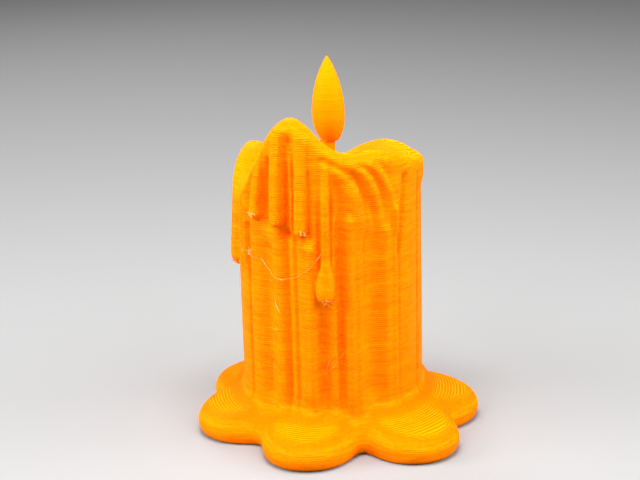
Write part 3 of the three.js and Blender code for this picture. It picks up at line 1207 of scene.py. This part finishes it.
@dataclass
class StrayHairs:
    """The fine hairs and ragged ends the printing left, joined fast to the candle."""

    wall: Wall = field(default_factory=Wall)
    rim: Rim = field(default_factory=Rim)
    half_breadth: float = 0.06
    spacing: float = 0.3
    sides: int = 5
    seed: int = 12
    steps: int = 12
    waver: float = 0.25
    lift: float = 0.5
    rooted: float = 0.05
    links: int = 3
    jitter: float = 0.5
    twist: float = 0.6
    drop: tuple[float, float] = (-1.0, 0.3)
    stray: tuple[float, float] = (-0.1, 0.25)
    hairs: tuple[Hair, ...] = (
        Hair((-80, 59), (-48, 57)),
        Hair((-48, 57), (-6, 61), 6.0),
        Hair((-62, 59), (-57, 58), 1.0),
        Hair((-5, 24), (3, 29), -3.5),
        Hair((-5, 24), (3, 29)),
        Hair((3, 29), (7, 31)),
        Hair((-37, 48), (-31, 42), 1.0),
        Hair((-38, 37), (-35, 37)),
    )
    tufts: tuple[Tuft, ...] = (
        Tuft(-6, 48, 2.0, 0.5, 7),
        Tuft(-2, 48, 2.0, 0.5, 7),
        Tuft(-4, 47, 2.6, 0.6, 9),
        Tuft(-51, 71, 2.4, 0.5, 8),
        Tuft(-16, 68, 1.6, 0.5, 8),
        Tuft(-84, 52, 5.0, 0.8, 12),
        Tuft(-60, 58, 2.4, 0.3, 12),
    )
    piece: bpy.types.Object | None = None

    def build(self) -> bpy.types.Object:
        """Lays the hairs out as thin lines.

        Returns:
            An object that holds the lines only.
        """
        chance = random.Random(self.seed)
        paths = [self._thread(hair, chance) for hair in self.hairs]
        for tuft in self.tufts:
            paths += [self._strand(tuft, chance) for _ in range(tuft.count)]
        points: list[Vector] = []
        lines: list[tuple[int, int]] = []
        for path in paths:
            first = len(points)
            points += [on_candle(*point) for point in path]
            lines += [(index, index + 1) for index in range(first, len(points) - 1)]
        mesh = bpy.data.meshes.new("stray_hairs_lines")
        mesh.from_pydata(points, lines, [])
        self.piece = bpy.data.objects.new("stray_hairs_lines", mesh)
        bpy.context.scene.collection.objects.link(self.piece)
        return self.piece

    def _skin(self, turn: float, height: float) -> float:
        """Gives the distance of the candle's surface from the axis at one place."""
        return float(self.wall.surface(np.array([turn]), np.array([height]), self.rim)[0])

    def _thread(self, hair: Hair, chance: random.Random) -> list[tuple[float, float, float]]:
        """Hangs one hair between its two ends, clear of the relief between them.

        Args:
            hair: The hair.
            chance: The seeded source of chance.

        Returns:
            Its points, rooted in the surface at both ends.
        """
        near, far = self._skin(*hair.start), self._skin(*hair.end)
        points = []
        for step in range(self.steps + 1):
            share = step / self.steps
            middle = 4.0 * share * (1.0 - share)
            turn = hair.start[0] + (hair.end[0] - hair.start[0]) * share
            height = hair.start[1] + (hair.end[1] - hair.start[1]) * share - hair.sag * middle
            height += self.waver * middle * chance.uniform(-1.0, 1.0)
            strung = near + (far - near) * share
            radius = max(strung, self._skin(turn, height)) + self.lift * middle - self.rooted
            points.append((turn, height, radius))
        return points

    def dress(self, material: bpy.types.Material) -> None:
        """Gives the lines their thickness and finish, and puts them in place as one mesh.

        Args:
            material: The hairs' finish.
        """
        lines = self.piece
        tree, breadth = self._tree(material)
        drawn = lines.modifiers.new("drawn", "NODES")
        drawn.node_group = tree
        drawn[breadth] = self.half_breadth * MM
        bpy.context.view_layer.update()
        graph = bpy.context.evaluated_depsgraph_get()
        mesh = bpy.data.meshes.new_from_object(lines.evaluated_get(graph))
        mesh.name = "stray_hairs"
        bpy.data.objects.remove(lines)
        self.piece = place("stray_hairs", mesh)

    def _strand(self, tuft: Tuft, chance: random.Random) -> tuple[tuple[float, float, float], ...]:
        """Hangs one short, bent hair from a ragged end.

        Args:
            tuft: The ragged end.
            chance: The seeded source of chance.

        Returns:
            Its points.
        """
        turn = tuft.turn + chance.uniform(-1.0, 1.0) * tuft.spread
        height = tuft.height + chance.uniform(-self.jitter, self.jitter)
        radius = self._skin(turn, height) - self.rooted
        points = [(turn, height, radius)]
        for _ in range(self.links):
            turn += self.twist * chance.uniform(-1.0, 1.0) * tuft.spread
            height += chance.uniform(*self.drop) * tuft.hang
            radius += chance.uniform(*self.stray)
            points.append((turn, height, radius))
        return tuple(points)

    def _tree(self, material: bpy.types.Material) -> tuple[bpy.types.NodeTree, str]:
        """Wires the nodes that smooth each line and sweep a small circle along it.

        Args:
            material: The hairs' finish.

        Returns:
            The tree, and the identifier of its half breadth input.
        """
        tree = bpy.data.node_groups.new("drawn_hairs", "GeometryNodeTree")
        tree.interface.new_socket(name="Lines", in_out="INPUT", socket_type="NodeSocketGeometry")
        breadth = tree.interface.new_socket(
            name="Half breadth", in_out="INPUT", socket_type="NodeSocketFloat"
        )
        tree.interface.new_socket(name="Hairs", in_out="OUTPUT", socket_type="NodeSocketGeometry")
        given = tree.nodes.new("NodeGroupInput")
        curves = tree.nodes.new("GeometryNodeMeshToCurve")
        kind = tree.nodes.new("GeometryNodeCurveSplineType")
        kind.spline_type = "CATMULL_ROM"
        even = tree.nodes.new("GeometryNodeResampleCurve")
        even.mode = "LENGTH"
        even.inputs["Length"].default_value = self.spacing * MM
        circle = tree.nodes.new("GeometryNodeCurvePrimitiveCircle")
        circle.inputs["Resolution"].default_value = self.sides
        sweep = tree.nodes.new("GeometryNodeCurveToMesh")
        sweep.inputs["Fill Caps"].default_value = True
        whole = tree.nodes.new("GeometryNodeRealizeInstances")
        dressed = tree.nodes.new("GeometryNodeSetMaterial")
        dressed.inputs["Material"].default_value = material
        result = tree.nodes.new("NodeGroupOutput")
        link = tree.links.new
        link(given.outputs["Lines"], curves.inputs["Mesh"])
        link(curves.outputs["Curve"], kind.inputs["Curve"])
        link(kind.outputs["Curve"], even.inputs["Curve"])
        link(given.outputs["Half breadth"], circle.inputs["Radius"])
        link(even.outputs["Curve"], sweep.inputs["Curve"])
        link(circle.outputs["Curve"], sweep.inputs["Profile Curve"])
        link(sweep.outputs["Mesh"], whole.inputs["Geometry"])
        link(whole.outputs["Geometry"], dressed.inputs["Geometry"])
        link(dressed.outputs["Geometry"], result.inputs["Hairs"])
        return tree, breadth.identifier


# ---------------------------------------------------------------------------
# The setting
# ---------------------------------------------------------------------------


@dataclass(frozen=True)
class Lamp:
    """One soft area light: where it stands, its size in metres and its power in watts."""

    name: str
    spot: tuple[float, float, float]
    size: float
    power: float


@dataclass
class Studio:
    """A plain pale floor, soft light and the camera."""

    floor_size: float = 6.0
    floor_colour: Colour = (0.25, 0.25, 0.25, 1.0)
    floor_roughness: float = 0.9
    sky: float = 0.22
    aim: tuple[float, float, float] = (0.0, 0.0, 0.055)
    camera_aim: tuple[float, float, float] = (-0.003, 0.0, 0.0565)
    camera_reach: float = 0.48
    pitch: float = 18.0
    roll: float = -1.5
    lens: float = 91.0
    sensor: float = 36.0
    lamps: tuple[Lamp, ...] = (
        Lamp("left side", (-0.67, -0.12, 0.34), 0.4, 5.6),
        Lamp("right side", (0.67, -0.12, 0.34), 0.4, 4.6),
        Lamp("left front", (-0.4, -0.42, 0.58), 0.4, 3.2),
        Lamp("right front", (0.4, -0.42, 0.58), 0.4, 3.2),
        Lamp("top", (0.0, -0.08, 0.5), 0.3, 4.2),
        Lamp("back", (-0.2, 0.6, 0.55), 0.4, 2.5),
    )

    def build(self) -> None:
        """Builds the floor, the lights and the camera."""
        self._floor()
        for lamp in self.lamps:
            self._light(lamp)
        self._sky()
        self._camera()
        bpy.context.scene.view_settings.view_transform = "Standard"

    def _floor(self) -> None:
        """Lays the pale floor."""
        half = 0.5 * self.floor_size
        mesh = bpy.data.meshes.new("floor")
        corners = [(-half, -half, 0.0), (half, -half, 0.0), (half, half, 0.0), (-half, half, 0.0)]
        mesh.from_pydata(corners, [], [(0, 1, 2, 3)])
        sheet = NodeSheet("floor")
        sheet.shader.inputs["Base Color"].default_value = self.floor_colour
        sheet.shader.inputs["Roughness"].default_value = self.floor_roughness
        mesh.materials.append(sheet.material)
        floor = bpy.data.objects.new("floor", mesh)
        bpy.context.scene.collection.objects.link(floor)

    def _light(self, lamp: Lamp) -> None:
        """Hangs one soft light, turned towards the candle."""
        data = bpy.data.lights.new(lamp.name, "AREA")
        data.shape = "DISK"
        data.size = lamp.size
        data.energy = lamp.power
        light = bpy.data.objects.new(lamp.name, data)
        light.location = lamp.spot
        towards = Vector(self.aim) - Vector(lamp.spot)
        light.rotation_euler = towards.to_track_quat("-Z", "Y").to_euler()
        bpy.context.scene.collection.objects.link(light)

    def _sky(self) -> None:
        """Fills the shade with a little even light."""
        world = bpy.data.worlds.new("sky")
        world.use_nodes = True
        world.node_tree.nodes["Background"].inputs["Strength"].default_value = self.sky
        bpy.context.scene.world = world

    def _camera(self) -> None:
        """Stands the camera back from the middle of the candle, looking a little down on it."""
        data = bpy.data.cameras.new("camera")
        data.lens = self.lens
        data.sensor_width = self.sensor
        data.dof.use_dof = False
        camera = bpy.data.objects.new("camera", data)
        turned = Matrix.Rotation(math.radians(LEVEL_VIEW - self.pitch), 4, "X")
        rolled = Matrix.Rotation(math.radians(self.roll), 4, "Z")
        tilt = math.radians(self.pitch)
        back = Vector((0.0, -math.cos(tilt), math.sin(tilt))) * self.camera_reach
        spot = Vector(self.camera_aim) + back
        camera.matrix_world = Matrix.Translation(spot) @ turned @ rolled
        bpy.context.scene.collection.objects.link(camera)
        bpy.context.scene.camera = camera


def main() -> None:
    """Builds the candle and its setting, and reports each piece."""
    logging.basicConfig(level=logging.INFO, format="%(name)s: %(message)s")
    Studio().build()
    filament = FilamentFinish().material()
    stretched = StringFinish().material()
    for assembly, finish in (
        (CandleBody(), filament),
        (WickAndFlame(), filament),
        (StrayHairs(), stretched),
    ):
        assembly.build()
        assembly.dress(finish)
        log.info("%s: %d faces", assembly.piece.name, len(assembly.piece.data.polygons))


if __name__ == "__main__":
    main()
